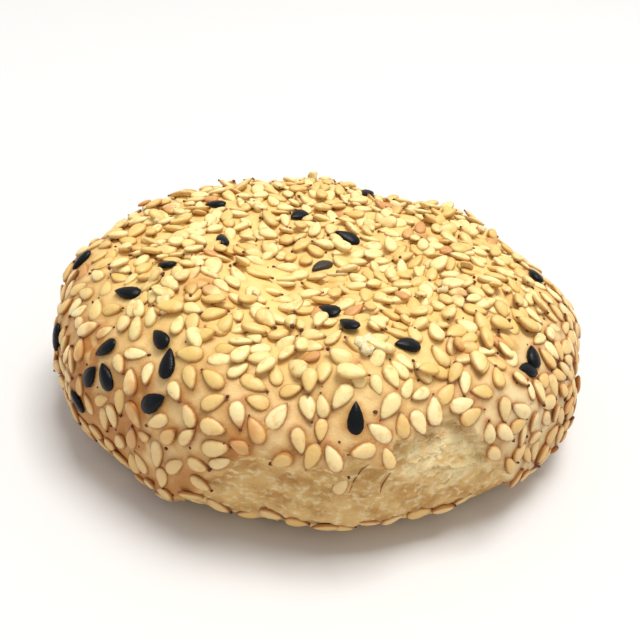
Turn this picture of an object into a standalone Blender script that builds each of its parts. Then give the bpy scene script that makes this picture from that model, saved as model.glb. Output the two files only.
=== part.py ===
"""Sesame flaky pastry: a round, slightly domed bun of laminated dough, rolled in sesame seeds.

The bun is one solid. Its dough is a turned profile with a shallow dimple in the crown and soft hand-made
lumps. Round the foot the outer skin is torn in places: the dough is set back there, and the ragged edges of
its layers stand out over one another as ledges. The seeds stand proud of the skin, and one union fuses the
ledges and the seeds to the dough.

Frame: +Z up, the origin at the middle of the flat base, -Y is the front. Lengths are in metres.
"""

import math

import bmesh
import bpy
import numpy as np
from mathutils import Matrix, Vector

# ---- driving sizes --------------------------------------------------------------------------------
RADIUS = 0.0350  # the dough at its widest level
HEIGHT = 0.0240  # the dough, from the base to the crown
WAIST = 0.0088  # height of the widest level
BASE_RADIUS = 0.0242  # the flat face that it rests on
CROWN_POWER = 3.0  # superellipse power of the dome: 2 is an ellipse, more is squarer
FOOT_POWER = 2.4  # the same for the curve that tucks in under the waist

DIMPLE_DEPTH = 0.0026
DIMPLE_RADIUS = 0.0240
DIMPLE_MIDDLE = (0.001, -0.005)  # the lowest place is a little nearer to the front
LUMP_HEIGHT = 0.00045  # soft lumps left by hand shaping
LUMP_LENGTH = 0.0170
LEAN = 0.045  # one side is baked this much taller than the middle, the other this much lower
LEAN_ANGLE = math.radians(170)  # the taller side

FRONT = math.radians(-90)
SKIN_EDGE = 0.0010  # the dough drops back over this height below the tear's lip

# Where the skin is torn: (angle from the front, half width, height of the tear, depth)
TEARS = (
    (math.radians(12), math.radians(44), 0.0130, 0.0009),
    (math.radians(24), math.radians(18), 0.0176, 0.0012),
    (math.radians(128), math.radians(32), 0.0092, 0.0009),
    (math.radians(-132), math.radians(28), 0.0098, 0.0009),
)

# The layers' edges: (start and end angle from the front, free edge's height at the start and at the end)
LEDGES = (
    (math.radians(-14), math.radians(20), 0.0100, 0.0108),
    (math.radians(-8), math.radians(32), 0.0070, 0.0074),
    (math.radians(-20), math.radians(10), 0.0042, 0.0050),
    (math.radians(14), math.radians(44), 0.0046, 0.0056),
    (math.radians(11), math.radians(26), 0.0124, 0.0166),
    (math.radians(24), math.radians(40), 0.0132, 0.0096),
    (math.radians(104), math.radians(142), 0.0064, 0.0076),
    (math.radians(122), math.radians(156), 0.0038, 0.0052),
    (math.radians(-154), math.radians(-118), 0.0074, 0.0056),
)
LEDGE_STATIONS = 8
LEDGE_REACH = 0.0026  # from the free edge up to the root, inside the dough
LEDGE_PROUD = 0.0006  # the free edge stands this far out of the dough
LEDGE_THICKNESS = 0.0006
LEDGE_RAGGED = 0.0007

ROUND_STEPS = 66  # dough faces round the bun
PROFILE_STEPS = 20  # dough faces from the base's edge to the crown
LOW_BIAS = 1.35  # more than 1 puts more of those faces low down, where the torn layers are
FRONT_BIAS = 0.35  # more than 0 puts more of the faces round the bun at the main tear

SEED_COUNT = 236  # the largest seeds, spread evenly; the rest are finer than this solid goes
SEED_LENGTH = 0.0037  # at its root; where it meets the skin it is a fifth less
SEED_WIDTH = 0.0023
SEED_PROUD = 0.0007  # a seed's back stands this far out of the skin
SEED_ROOT = 0.0007  # how deep it sits in the dough
SEED_TAPER = 0.55  # its back's size beside its root's
SEED_FLOOR = 0.0036  # no seed's middle is lower than this
SEED_PLAN = ((0, -1), (0.8, -0.15), (0.9, 0.5), (0, 1), (-0.9, 0.5), (-0.8, -0.15))  # halves of its size

GOLDEN_ANGLE = math.pi * (3 - math.sqrt(5))

DOUGH_COLOUR = (0.76, 0.49, 0.22, 1.0)


# ---- the dough's surface --------------------------------------------------------------------------
def ripple(points, length, seed, waves=9):
    """Smooth random relief of about -1 to 1: a sum of sine waves near one length, in random directions."""
    rng = np.random.default_rng(seed)
    directions = rng.normal(size=(waves, 3))
    directions /= np.linalg.norm(directions, axis=1, keepdims=True)
    numbers = 2 * math.pi / (length * rng.uniform(0.75, 1.35, waves))
    phases = rng.uniform(0, 2 * math.pi, waves)
    return np.sin(points @ (directions * numbers[:, None]).T + phases).sum(-1) / math.sqrt(waves)


def smooth(x):
    """0 below 0, 1 above 1, and an S curve between."""
    x = np.clip(x, 0, 1)
    return x * x * (3 - 2 * x)


def profile():
    """The turned profile from the base's edge to the crown: radius, height and outward normal by arc length."""
    turn = np.linspace(0, math.pi / 2, 200)
    foot_r = BASE_RADIUS + (RADIUS - BASE_RADIUS) * np.sin(turn) ** (2 / FOOT_POWER)
    foot_z = WAIST * (1 - np.cos(turn) ** (2 / FOOT_POWER))
    dome_r = RADIUS * np.cos(turn) ** (2 / CROWN_POWER)
    dome_z = WAIST + (HEIGHT - WAIST) * np.sin(turn) ** (2 / CROWN_POWER)
    r = np.concatenate([foot_r, dome_r[1:]])
    z = np.concatenate([foot_z, dome_z[1:]])
    along = np.concatenate([[0], np.cumsum(np.hypot(np.diff(r), np.diff(z)))])
    normal_r, normal_z = np.gradient(z, along), -np.gradient(r, along)
    return along / along[-1], r, z, normal_r, normal_z


PROFILE = profile()


def share_at(height):
    """The share of the profile's length at this height."""
    share, _, z = PROFILE[:3]
    return np.interp(height, z, share)


def outline(angle):
    """The plan is not quite a circle."""
    wide = 0.010 * np.cos(2 * angle + 0.6)
    return 1 + wide + 0.004 * np.cos(3 * angle - 1.3) + 0.003 * np.cos(5 * angle)


def tear_depth(angle, z, points):
    """How far the torn skin sets the surface back at each point."""
    ragged = ripple(points, 0.0085, 11) * 0.0009 + ripple(points, 0.0034, 12) * 0.0005
    depth = np.zeros_like(z)
    for middle, half, height, deep in TEARS:
        away = np.abs((angle - FRONT - middle + math.pi) % (2 * math.pi) - math.pi)
        top = height * smooth(1.6 * (1 - away / half)) + ragged
        here = deep * smooth((top - z) / SKIN_EDGE)
        depth = np.maximum(depth, np.where(away < half, here, 0))
    return depth


def surface(angle, share_up, out=0.0):
    """Points at these angles and shares of the profile's length, moved out of the dough by so much."""
    share, r, z, normal_r, normal_z = PROFILE
    r, z, normal_r, normal_z = (np.interp(share_up, share, row) for row in (r, z, normal_r, normal_z))
    size = np.hypot(normal_r, normal_z)
    normal_r, normal_z = normal_r / size, normal_z / size
    still = np.stack([r * np.cos(angle), r * np.sin(angle), z], axis=-1)
    off_middle = np.linalg.norm(still[..., :2] - np.array(DIMPLE_MIDDLE), axis=-1)
    dimple = DIMPLE_DEPTH * (1 - smooth(off_middle / DIMPLE_RADIUS)) * smooth(z / HEIGHT * 2 - 1)
    lift = z * LEAN * np.cos(angle - LEAN_ANGLE) * (r / RADIUS) - dimple
    lumps = LUMP_HEIGHT * (ripple(still, LUMP_LENGTH, 3) + 0.4 * ripple(still, LUMP_LENGTH / 2, 4))
    off_base = smooth(z / 0.0020)
    push = (lumps - tear_depth(angle, z, still)) * off_base + out
    r_out = r * outline(angle) + normal_r * push
    return np.stack([r_out * np.cos(angle), r_out * np.sin(angle), z + lift + normal_z * push], axis=-1)


def frame_on_surface(angle, share_up, spin):
    """A matrix that stands on the dough: Z out of the skin, Y turned by spin from the uphill direction."""
    small = 1e-3
    here, beside, above = (
        Vector(surface(np.array([a]), np.array([s]))[0])
        for a, s in ((angle, share_up), (angle + small, share_up), (angle, share_up + small))
    )
    across, uphill = (beside - here).normalized(), (above - here).normalized()
    out = across.cross(uphill).normalized()
    uphill = out.cross(across)
    turned = Matrix((across, uphill, out)).transposed().to_4x4()
    return Matrix.Translation(here) @ turned @ Matrix.Rotation(spin, 4, "Z")


# ---- the pieces -----------------------------------------------------------------------------------
def make_material():
    material = bpy.data.materials.new("baked_dough")
    material.use_nodes = True
    shader = material.node_tree.nodes["Principled BSDF"]
    shader.inputs["Base Color"].default_value = DOUGH_COLOUR
    shader.inputs["Roughness"].default_value = 0.5
    shader.inputs["Metallic"].default_value = 0.0
    return material


def solid_through(name, loops):
    """A closed mesh through loops with as many points each, the first and last of them filled."""
    mesh = bmesh.new()
    rows = [[mesh.verts.new(point) for point in loop] for loop in loops]
    for low, high in zip(rows, rows[1:]):
        for i in range(len(low)):
            j = (i + 1) % len(low)
            mesh.faces.new((low[i], low[j], high[j], high[i]))
    mesh.faces.new(rows[0][::-1])
    mesh.faces.new(rows[-1])
    bmesh.ops.triangulate(mesh, faces=mesh.faces[:])
    bmesh.ops.recalc_face_normals(mesh, faces=mesh.faces[:])
    data = bpy.data.meshes.new(name)
    mesh.to_mesh(data)
    mesh.free()
    return data


def link(mesh, name, collection):
    obj = bpy.data.objects.new(name, mesh)
    collection.objects.link(obj)
    return obj


def make_dough(material):
    """The bun without seeds: rings of points from the base's edge up to the crown, closed at both ends."""
    even = np.linspace(0, 2 * math.pi, ROUND_STEPS, endpoint=False)
    angles = even - FRONT_BIAS * np.sin(even - FRONT - TEARS[0][0])
    rings = np.linspace(0, 1, PROFILE_STEPS, endpoint=False) ** LOW_BIAS
    data = solid_through("sesame_pastry", [surface(angles, np.full_like(angles, share)) for share in rings])
    data.materials.append(material)
    return link(data, "sesame_pastry", bpy.context.scene.collection)


def place_ledges(collection):
    """Ragged strips along the torn layers: rooted in the dough above, free at the edge below."""
    for i, (start, end, low_start, low_end) in enumerate(LEDGES):
        rng = np.random.default_rng(40 + i)
        t = np.linspace(0, 1, LEDGE_STATIONS)
        angle = FRONT + start + (end - start) * t
        free = low_start + (low_end - low_start) * t + LEDGE_RAGGED * rng.uniform(-1, 1, LEDGE_STATIONS)
        # The ends sink into the dough.
        proud = (LEDGE_PROUD + 0.0006) * np.sin(math.pi * t) ** 0.5 - 0.0006
        root = share_at(free + LEDGE_REACH)
        corners = (
            surface(angle, root, -0.0003),
            surface(angle, share_at(free), proud),
            surface(angle, share_at(free), proud - LEDGE_THICKNESS),
            surface(angle, root, -0.0003 - LEDGE_THICKNESS),
        )
        link(solid_through(f"ledge_{i}", list(zip(*corners))), f"ledge_{i}", collection)


def place_seeds(collection):
    """Seeds on a golden-angle spiral, evenly by area from above the foot to the crown, each turned at random."""
    rng = np.random.default_rng(7)
    half = np.array([SEED_WIDTH / 2, SEED_LENGTH / 2])
    root = [(x, y, -SEED_ROOT) for x, y in np.array(SEED_PLAN) * half]
    back = [(x, y, SEED_PROUD) for x, y in np.array(SEED_PLAN) * half * SEED_TAPER]
    mesh = solid_through("seed", (root, back))
    share, r, z = PROFILE[:3]
    fine = np.linspace(share_at(SEED_FLOOR), 1, 2000)
    area = np.cumsum(np.interp(fine, share, r))
    for i in range(SEED_COUNT):
        level = np.interp((i + 0.5) / SEED_COUNT * area[-1], area, fine)
        angle = i * GOLDEN_ANGLE + rng.uniform(-0.03, 0.03)
        spin = rng.uniform(0, 2 * math.pi)
        size = rng.uniform(0.92, 1.06)
        radius, height = np.interp(level, share, r), np.interp(level, share, z)
        here = np.array([[radius * math.cos(angle), radius * math.sin(angle), height]])
        if tear_depth(np.array([angle]), np.array([height]), here)[0] > 0.0001:
            continue
        seed = link(mesh, f"seed_{i}", collection)
        seed.matrix_world = frame_on_surface(angle, level, spin) @ Matrix.Diagonal((size, size, size, 1))


def fuse(dough, collection):
    """One union joins everything in the collection to the dough, and the collection's own objects go."""
    union = dough.modifiers.new("fuse", "BOOLEAN")
    union.operation = "UNION"
    union.operand_type = "COLLECTION"
    union.collection = collection
    union.solver = "MANIFOLD"
    bpy.context.view_layer.objects.active = dough
    bpy.ops.object.modifier_apply(modifier=union.name)
    for obj in list(collection.objects):
        bpy.data.objects.remove(obj)
    bpy.data.collections.remove(collection)


def keep_outer_shell(dough):
    """Fills any hollow that the union sealed, and drops any loose scrap, by keeping the largest shell alone."""
    mesh = bmesh.new()
    mesh.from_mesh(dough.data)
    unseen, shells = set(mesh.verts), []
    while unseen:
        edge_of_search = [unseen.pop()]
        shell = list(edge_of_search)
        while edge_of_search:
            vert = edge_of_search.pop()
            fresh = {edge.other_vert(vert) for edge in vert.link_edges} & unseen
            unseen -= fresh
            edge_of_search += fresh
            shell += fresh
        shells.append(shell)
    shells.sort(key=len)
    bmesh.ops.delete(mesh, geom=[vert for shell in shells[:-1] for vert in shell], context="VERTS")
    mesh.to_mesh(dough.data)
    mesh.free()


def main():
    for obj in list(bpy.data.objects):
        bpy.data.objects.remove(obj)
    dough = make_dough(make_material())
    toppings = bpy.data.collections.new("toppings")
    bpy.context.scene.collection.children.link(toppings)
    place_ledges(toppings)
    place_seeds(toppings)
    bpy.context.view_layer.update()
    fuse(dough, toppings)
    keep_outer_shell(dough)
    dough.data.shade_smooth()
    dough.data.set_sharp_from_angle(angle=math.radians(50))


main()
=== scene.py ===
# %% [markdown]
# # A sesame flaky pastry
#
# The real thing is a palm-sized bun of laminated dough, brushed with egg, rolled in sesame and baked.
# This script dresses its plain CAD solid: first the camera, the light and the floor, then the seeds, the
# dough, the torn layers round the foot, and the crumbs. Every shape is a formula worked out with numpy as
# whole arrays, because a formula can be read, changed and rerun, which a sculpted mesh can't.

# %% Imports and the CAD frame
import math

import bpy
import numpy as np
from mathutils import Matrix, Vector


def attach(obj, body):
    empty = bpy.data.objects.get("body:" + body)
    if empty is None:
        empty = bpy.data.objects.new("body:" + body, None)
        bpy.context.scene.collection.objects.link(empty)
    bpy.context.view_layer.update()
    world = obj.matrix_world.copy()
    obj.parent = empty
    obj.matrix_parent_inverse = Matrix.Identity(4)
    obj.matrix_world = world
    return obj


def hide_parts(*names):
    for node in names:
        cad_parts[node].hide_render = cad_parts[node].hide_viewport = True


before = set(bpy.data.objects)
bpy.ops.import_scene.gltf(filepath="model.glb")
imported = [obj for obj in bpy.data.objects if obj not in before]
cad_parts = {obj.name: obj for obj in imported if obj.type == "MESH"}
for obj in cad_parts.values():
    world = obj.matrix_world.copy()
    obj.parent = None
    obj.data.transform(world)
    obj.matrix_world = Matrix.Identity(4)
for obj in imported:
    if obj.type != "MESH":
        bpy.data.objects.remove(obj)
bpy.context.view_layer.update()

# %% [markdown]
# ## Camera and light
#
# The pastry is seen from a little above its own edge, close by, so the near side looks larger than the
# far side. A camera that aims straight at the middle of the pastry needs no lens shift. The surroundings
# are white, which makes soft light from all round; one large lamp high above gives the seeds their bright
# backs and the small shadows beside them.

# %% Camera
VIEW_ELEVATION = math.radians(29.7)
VIEW_DISTANCE = 0.1250
VIEW_ROLL = math.radians(4.3)
VIEW_LENS = 50.0
AIM = Vector((0, 0, 0.0118))


def add_camera():
    """A camera on the -Y side that looks down at AIM, turned a little about its own line of sight."""
    camera = bpy.data.objects.new("camera", bpy.data.cameras.new("camera"))
    back = Vector((0, -math.cos(VIEW_ELEVATION), math.sin(VIEW_ELEVATION)))
    turn = (-back).to_track_quat("-Z", "Y").to_matrix().to_4x4()
    roll = Matrix.Rotation(VIEW_ROLL, 4, "Z")
    camera.matrix_world = Matrix.Translation(AIM + back * VIEW_DISTANCE) @ turn @ roll
    camera.data.lens = VIEW_LENS
    camera.data.clip_start = 0.005
    bpy.context.scene.collection.objects.link(camera)
    bpy.context.scene.camera = camera


add_camera()

# %% Light
SURROUND = 0.58
LAMP_POWER = 13.2
LAMP_PLACE = Vector((0.20, 0.09, 1.20))
LAMP_SIZE = 0.60


def add_light():
    """A white surround, and one square lamp above the pastry, a little to its right."""
    scene = bpy.context.scene
    scene.view_settings.view_transform = "Standard"
    scene.world = bpy.data.worlds.new("surround")
    scene.world.use_nodes = True
    background = scene.world.node_tree.nodes["Background"]
    background.inputs["Color"].default_value = (1.0, 0.99, 0.975, 1)
    background.inputs["Strength"].default_value = SURROUND
    lamp = bpy.data.objects.new("lamp", bpy.data.lights.new("lamp", "AREA"))
    lamp.data.energy = LAMP_POWER
    lamp.data.size = LAMP_SIZE
    lamp.data.color = (1.0, 0.98, 0.95)
    lamp.location = LAMP_PLACE
    lamp.rotation_mode = "QUATERNION"
    lamp.rotation_quaternion = (AIM - LAMP_PLACE).to_track_quat("-Z", "Y")
    scene.collection.objects.link(lamp)


add_light()

# %% [markdown]
# ## Small helpers
#
# A mesh comes from arrays of points and faces in one call, and a number for each point, such as how
# brown the crust is there, is stored beside it as an attribute that the material can read.


# %% Mesh helpers
def make_piece(name, points, faces, material, slot=None, **attributes):
    """A mesh object from points and faces, riding on the pastry, with one float attribute per keyword.
    No point goes under the level of the base."""
    mesh = bpy.data.meshes.new(name)
    points = np.asarray(points).reshape(-1, 3)
    mesh.from_pydata(np.column_stack([points[:, :2], np.maximum(points[:, 2], 0)]).tolist(), [], faces)
    mesh.shade_smooth()
    for label, values in attributes.items():
        layer = mesh.attributes.new(label, "FLOAT", "POINT")
        layer.data.foreach_set("value", np.asarray(values, np.float32).ravel())
    mesh.materials.append(material)
    piece = bpy.data.objects.new(name, mesh)
    bpy.context.scene.collection.objects.link(piece)
    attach(piece, "root")
    print(f"{name}: {len(mesh.vertices)} points, {len(mesh.polygons)} faces")
    return piece


def ring_quads(rings, spokes):
    """Quads between neighbours of rings of points, numbered ring by ring; each ring's last meets its first."""
    ring, spoke = np.meshgrid(np.arange(rings - 1), np.arange(spokes), indexing="ij")
    here, beside = ring * spokes + spoke, ring * spokes + (spoke + 1) % spokes
    return np.stack((here, beside, beside + spokes, here + spokes), axis=-1).reshape(-1, 4)


def closed_tube(rings, spokes):
    """Faces of a tube of rings of points: its quads, and one many-sided face over each end."""
    last = (rings - 1) * spokes
    return ring_quads(rings, spokes).tolist() + [list(range(spokes))[::-1], list(range(last, last + spokes))]


def closed_ball(rings, spokes, flip=False):
    """Faces of rings of points and two poles, numbered after the rings: quads, and a fan of triangles to each
    pole. The order of corners says which side is out, and flip turns it round."""
    k = np.arange(spokes)
    beside, last, poles = (k + 1) % spokes, (rings - 1) * spokes, rings * spokes
    first_fan = np.stack([beside, k, np.full(spokes, poles)], axis=-1)
    last_fan = np.stack([last + k, last + beside, np.full(spokes, poles + 1)], axis=-1)
    step = -1 if flip else 1
    parts = (ring_quads(rings, spokes), first_fan, last_fan)
    return [face for part in parts for face in part[:, ::step].tolist()]


def renumber(faces, copies, points_each):
    """The same faces for each of several copies, numbered on from copy to copy."""
    return [[corner + copy * points_each for corner in face] for copy in range(copies) for face in faces]


# %% Node helpers
def connect(tree, socket, value):
    """Links a socket to an output, or gives it a plain value."""
    if isinstance(value, bpy.types.NodeSocket):
        tree.links.new(value, socket)
    else:
        socket.default_value = value


def add_node(tree, kind, sockets=None, **settings):
    """A shader node with its settings, and its sockets connected by name or number."""
    node = tree.nodes.new("ShaderNode" + kind)
    for label, value in settings.items():
        setattr(node, label, value)
    for label, value in (sockets or {}).items():
        connect(tree, node.inputs[label], value)
    return node


def attribute(tree, label):
    """The float attribute of that name, as an output."""
    return add_node(tree, "Attribute", attribute_name=label).outputs["Fac"]


def reckon(tree, operation, first, second):
    """One arithmetic step on numbers or outputs."""
    return add_node(tree, "Math", {0: first, 1: second}, operation=operation).outputs[0]


def times(tree, first, second):
    """The product of two numbers or outputs."""
    return reckon(tree, "MULTIPLY", first, second)


def blend_colours(tree, share, first, second):
    """The first colour at 0, the second at 1."""
    return add_node(tree, "Mix", {0: share, 6: first, 7: second}, data_type="RGBA").outputs[2]


def spread(tree, value, low, high):
    """0 where the value is at or under low, 1 at or over high, and an S curve between."""
    sockets = {"Value": value, "From Min": low, "From Max": high}
    return add_node(tree, "MapRange", sockets, interpolation_type="SMOOTHSTEP").outputs["Result"]


def noise(tree, place, scale, detail=3.0):
    """A cloudy number near 0.5; scale is in clouds per metre."""
    return add_node(tree, "TexNoise", {"Vector": place, "Scale": scale, "Detail": detail}).outputs["Fac"]


def shown(red, green, blue):
    """A colour as a screen shows it, 0 to 255, turned into the linear numbers that Blender works with."""
    share = np.array([red, green, blue]) / 255
    linear = np.where(share <= 0.04045, share / 12.92, ((share + 0.055) / 1.055) ** 2.4)
    return (*linear.tolist(), 1.0)


def new_material(name):
    """A material, its tree, its Principled shader, and the piece's Object coordinates."""
    material = bpy.data.materials.new(name)
    material.use_nodes = True
    tree = material.node_tree
    return material, tree, tree.nodes["Principled BSDF"], add_node(tree, "TexCoord").outputs["Object"]


# %% [markdown]
# ## Effects that several finishes share
#
# Baking browns a surface in soft uneven clouds, and everything here has a fine grain. Both are node groups
# with named inputs, so that each material places the same effect with its own colours and sizes.


# %% The shared node groups
def new_group(name, inputs, outputs):
    """An empty node group with inputs given as (name, type, default) and outputs as (name, type)."""
    group = bpy.data.node_groups.new(name, "ShaderNodeTree")
    for label, kind, default in inputs:
        socket = group.interface.new_socket(label, in_out="INPUT", socket_type="NodeSocket" + kind)
        if default is not None:
            socket.default_value = default
    for label, kind in outputs:
        group.interface.new_socket(label, in_out="OUTPUT", socket_type="NodeSocket" + kind)
    return group, group.nodes.new("NodeGroupInput").outputs, group.nodes.new("NodeGroupOutput").inputs


def make_browning():
    """Clouds of a browner colour: noise of one size pushed up by an extra mask, cut off from start to end."""
    inputs = [("Vector", "Vector", None)]
    inputs += [("Colour", "Color", (1, 1, 1, 1)), ("Browned", "Color", (0, 0, 0, 1))]
    inputs += [("Scale", "Float", 100.0), ("Start", "Float", 0.45), ("End", "Float", 0.75)]
    inputs += [("Extra", "Float", 0.0)]
    group, given, result = new_group("browning", inputs, [("Colour", "Color")])
    cloud = noise(group, given["Vector"], given["Scale"], 4.0)
    mask = spread(group, reckon(group, "ADD", cloud, given["Extra"]), given["Start"], given["End"])
    group.links.new(blend_colours(group, mask, given["Colour"], given["Browned"]), result["Colour"])
    return group


def make_grain():
    """Fine relief: noise at one size, and pits at four times that number to the metre."""
    inputs = [("Vector", "Vector", None), ("Scale", "Float", 1000.0), ("Pits", "Float", 0.4)]
    group, given, result = new_group("grain", inputs, [("Height", "Float")])
    soft = noise(group, given["Vector"], given["Scale"])
    sockets = {"Vector": given["Vector"], "Scale": times(group, given["Scale"], 4.0)}
    cells = add_node(group, "TexVoronoi", sockets).outputs["Distance"]
    group.links.new(reckon(group, "ADD", soft, times(group, cells, given["Pits"])), result["Height"])
    return group


BROWNING = make_browning()
GRAIN = make_grain()


def place_group(tree, group, **sockets):
    """The group as a node in a material, with its inputs connected by name."""
    node = tree.nodes.new("ShaderNodeGroup")
    node.node_tree = group
    for label, value in sockets.items():
        connect(tree, node.inputs[label], value)
    return node.outputs


def browned(tree, place, colour, browner, scale, start, end, extra=0.0):
    """The colour with clouds of the browner one; scale is in clouds per metre."""
    sockets = {"Vector": place, "Colour": colour, "Browned": browner, "Scale": scale}
    return place_group(tree, BROWNING, **sockets, Start=start, End=end, Extra=extra)["Colour"]


def add_grain(tree, shader, place, scale, pits, distance):
    """Turns the grain into the shader's normal, as relief of that many metres."""
    height = place_group(tree, GRAIN, Vector=place, Scale=scale, Pits=pits)["Height"]
    bump = add_node(tree, "Bump", {"Height": height, "Distance": distance, "Strength": 1.0})
    tree.links.new(bump.outputs["Normal"], shader.inputs["Normal"])


SOFT_DEPTH = 0.0008  # how far light spreads inside dough and seeds, in metres


def let_light_in(shader, weight, radius):
    """A share of the light goes in and comes out nearby, by SOFT_DEPTH times the radius for each colour."""
    shader.inputs["Subsurface Weight"].default_value = weight
    shader.inputs["Subsurface Radius"].default_value = radius
    shader.inputs["Subsurface Scale"].default_value = SOFT_DEPTH


# %% [markdown]
# ## The floor
#
# A plain pale sheet under the pastry, so large that its edge is far behind.

# %% Floor
FLOOR_HALF = 1.5


def add_floor():
    """One square on the level of the pastry's base."""
    material, _, shader, _ = new_material("floor")
    shader.inputs["Base Color"].default_value = (0.76, 0.76, 0.76, 1)
    shader.inputs["Roughness"].default_value = 0.7
    corners = [(x * FLOOR_HALF, y * FLOOR_HALF, 0) for x, y in ((-1, -1), (1, -1), (1, 1), (-1, 1))]
    mesh = bpy.data.meshes.new("floor")
    mesh.from_pydata(corners, [], [(0, 1, 2, 3)])
    mesh.materials.append(material)
    floor = bpy.data.objects.new("floor", mesh)
    bpy.context.scene.collection.objects.link(floor)


add_floor()

# %% [markdown]
# ## The dough's shape
#
# The bun is turned from a profile: a superellipse dome on a foot that tucks in to a flat base. Low waves in
# random directions make it hand-shaped, the crown has a shallow dimple, and round the foot the skin is torn.
# Any point of it is a function of two numbers, the angle round the bun and the share of the way from the
# base's edge up to the crown, so the seeds and flakes can be set on the same function later.

# %% Sizes of the dough
RADIUS = 0.0350
HEIGHT = 0.0240
WAIST = 0.0088
BASE_RADIUS = 0.0242
CROWN_POWER = 3.0
FOOT_POWER = 2.4
DIMPLE_DEPTH = 0.0026
DIMPLE_RADIUS = 0.0240
DIMPLE_MIDDLE = np.array([0.001, -0.005])
LUMP_HEIGHT = 0.00045
LUMP_LENGTH = 0.0170
LEAN = 0.045
LEAN_ANGLE = math.radians(170)
FRONT = math.radians(-90)

# Where the skin is torn: degrees from the front, half width in degrees, then in metres the height, the depth,
# and the height over which the skin thins out to the tear
TEARS = (
    (10, 48, 0.0140, 0.0009, 0.0020),
    (24, 18, 0.0176, 0.0012, 0.0010),
    (128, 32, 0.0092, 0.0009, 0.0012),
    (-132, 28, 0.0098, 0.0009, 0.0012),
)


# %% The profile and the waves
def ripple(points, length, seed, waves=9):
    """Smooth random relief of about -1 to 1: a sum of sine waves near one length, in random directions."""
    rng = np.random.default_rng(seed)
    directions = rng.normal(size=(waves, 3))
    directions /= np.linalg.norm(directions, axis=1, keepdims=True)
    numbers = 2 * math.pi / (length * rng.uniform(0.75, 1.35, waves))
    phases = rng.uniform(0, 2 * math.pi, waves)
    return np.sin(points @ (directions * numbers[:, None]).T + phases).sum(-1) / math.sqrt(waves)


def smooth(x):
    """0 below 0, 1 above 1, and an S curve between."""
    x = np.clip(x, 0, 1)
    return x * x * (3 - 2 * x)


def turn_from(angle, degrees):
    """How far an angle is from a heading in degrees from the front: between -pi and pi."""
    return (angle - FRONT - math.radians(degrees) + math.pi) % (2 * math.pi) - math.pi


def profile():
    """Radius, height and outward normal by share of arc length: two quarter superellipses, x^n + y^n = 1, that
    meet at the waist."""
    turn = np.linspace(0, math.pi / 2, 200)
    foot_r = BASE_RADIUS + (RADIUS - BASE_RADIUS) * np.sin(turn) ** (2 / FOOT_POWER)
    foot_z = WAIST * (1 - np.cos(turn) ** (2 / FOOT_POWER))
    dome_r = RADIUS * np.cos(turn) ** (2 / CROWN_POWER)
    dome_z = WAIST + (HEIGHT - WAIST) * np.sin(turn) ** (2 / CROWN_POWER)
    r = np.concatenate([foot_r, dome_r[1:]])
    z = np.concatenate([foot_z, dome_z[1:]])
    along = np.concatenate([[0], np.cumsum(np.hypot(np.diff(r), np.diff(z)))])
    normal_r, normal_z = np.gradient(z, along), -np.gradient(r, along)
    return along / along[-1], r, z, normal_r, normal_z


PROFILE = profile()


def share_at(height):
    """The share of the profile's length at a height."""
    return np.interp(height, PROFILE[2], PROFILE[0])


def height_at(share):
    """The profile's height at a share."""
    return np.interp(share, PROFILE[0], PROFILE[2])


def outline(angle):
    """The plan's radius beside a circle's: three low waves round the bun."""
    wide = 0.010 * np.cos(2 * angle + 0.6)
    return 1 + wide + 0.004 * np.cos(3 * angle - 1.3) + 0.003 * np.cos(5 * angle)


# %% Where the skin is torn
LAYER_PITCH = 0.0011
LAYER_STEP = 0.00024
SOFT_EDGE = 0.0020  # a tear whose skin thins out over this height or more has no lip
NO_LIP = 0.01  # the distance from the lip where there is none


def torn(angle, z, points):
    """Three measures of the tears: depth of the setback, 1 where the skin is gone, and distance from the lip.
    The top of a tear is an S curve of the angle from its middle, made ragged by waves."""
    ragged = ripple(points, 0.0085, 11) * 0.0009 + ripple(points, 0.0034, 12) * 0.0005
    fringe = ripple(points, 0.0026, 13) * 0.00050 + ripple(points, 0.0014, 30) * 0.00025
    depth, bare, off_lip = np.zeros_like(z), np.zeros_like(z), np.full_like(z, NO_LIP)
    for middle, half, height, deep, edge in TEARS:
        half_angle = math.radians(half)
        away = np.abs(turn_from(angle, middle))
        top = height * smooth(1.6 * (1 - away / half_angle)) + ragged
        inside = away < half_angle
        depth = np.maximum(depth, np.where(inside, deep * smooth((top - z) / edge), 0))
        bare = np.maximum(bare, np.where(inside, smooth((top + fringe - z) / (0.6 * edge)), 0))
        has_lip = inside & (edge < SOFT_EDGE)
        off_lip = np.minimum(off_lip, np.where(has_lip, np.abs(z - top - fringe), NO_LIP))
    return depth, bare, off_lip


def layers(z, points):
    """The edges of the dough's layers, 0 to 1 up each layer: a saw tooth of height, bent by low waves."""
    return (z / LAYER_PITCH + 0.55 * ripple(points, 0.0060, 14) + 0.25 * ripple(points, 0.0018, 15)) % 1.0


# Where the layers have come apart: degrees from the front, half width, middle height and half height
APART = ((27, 9, 0.0130, 0.0048), (128, 28, 0.0050, 0.0056), (-132, 24, 0.0050, 0.0058))
LEVEL = np.array([1.0, 1.0, 2.2])  # shortens waves upwards, so that folds lie level


def flakiness(angle, z, points):
    """How far the layers have come apart, 0 to 1: soft ovals of angle and height, made ragged by waves."""
    found = np.zeros_like(z)
    for middle, half, height, half_height in APART:
        oval = np.hypot(turn_from(angle, middle) / math.radians(half), (z - height) / half_height)
        found = np.maximum(found, smooth((1.1 - oval + 0.25 * ripple(points, 0.0045, 26)) / 0.35))
    return found


# %% The dough as a function of two numbers
def turned(angle, share):
    """The turned body before anything bends it: the point, its radius and height, and the profile's normal."""
    r, z, normal_r, normal_z = (np.interp(share, PROFILE[0], row) for row in PROFILE[1:])
    size = np.hypot(normal_r, normal_z)
    return np.stack([r * np.cos(angle), r * np.sin(angle), z], axis=-1), r, z, normal_r / size, normal_z / size


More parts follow.
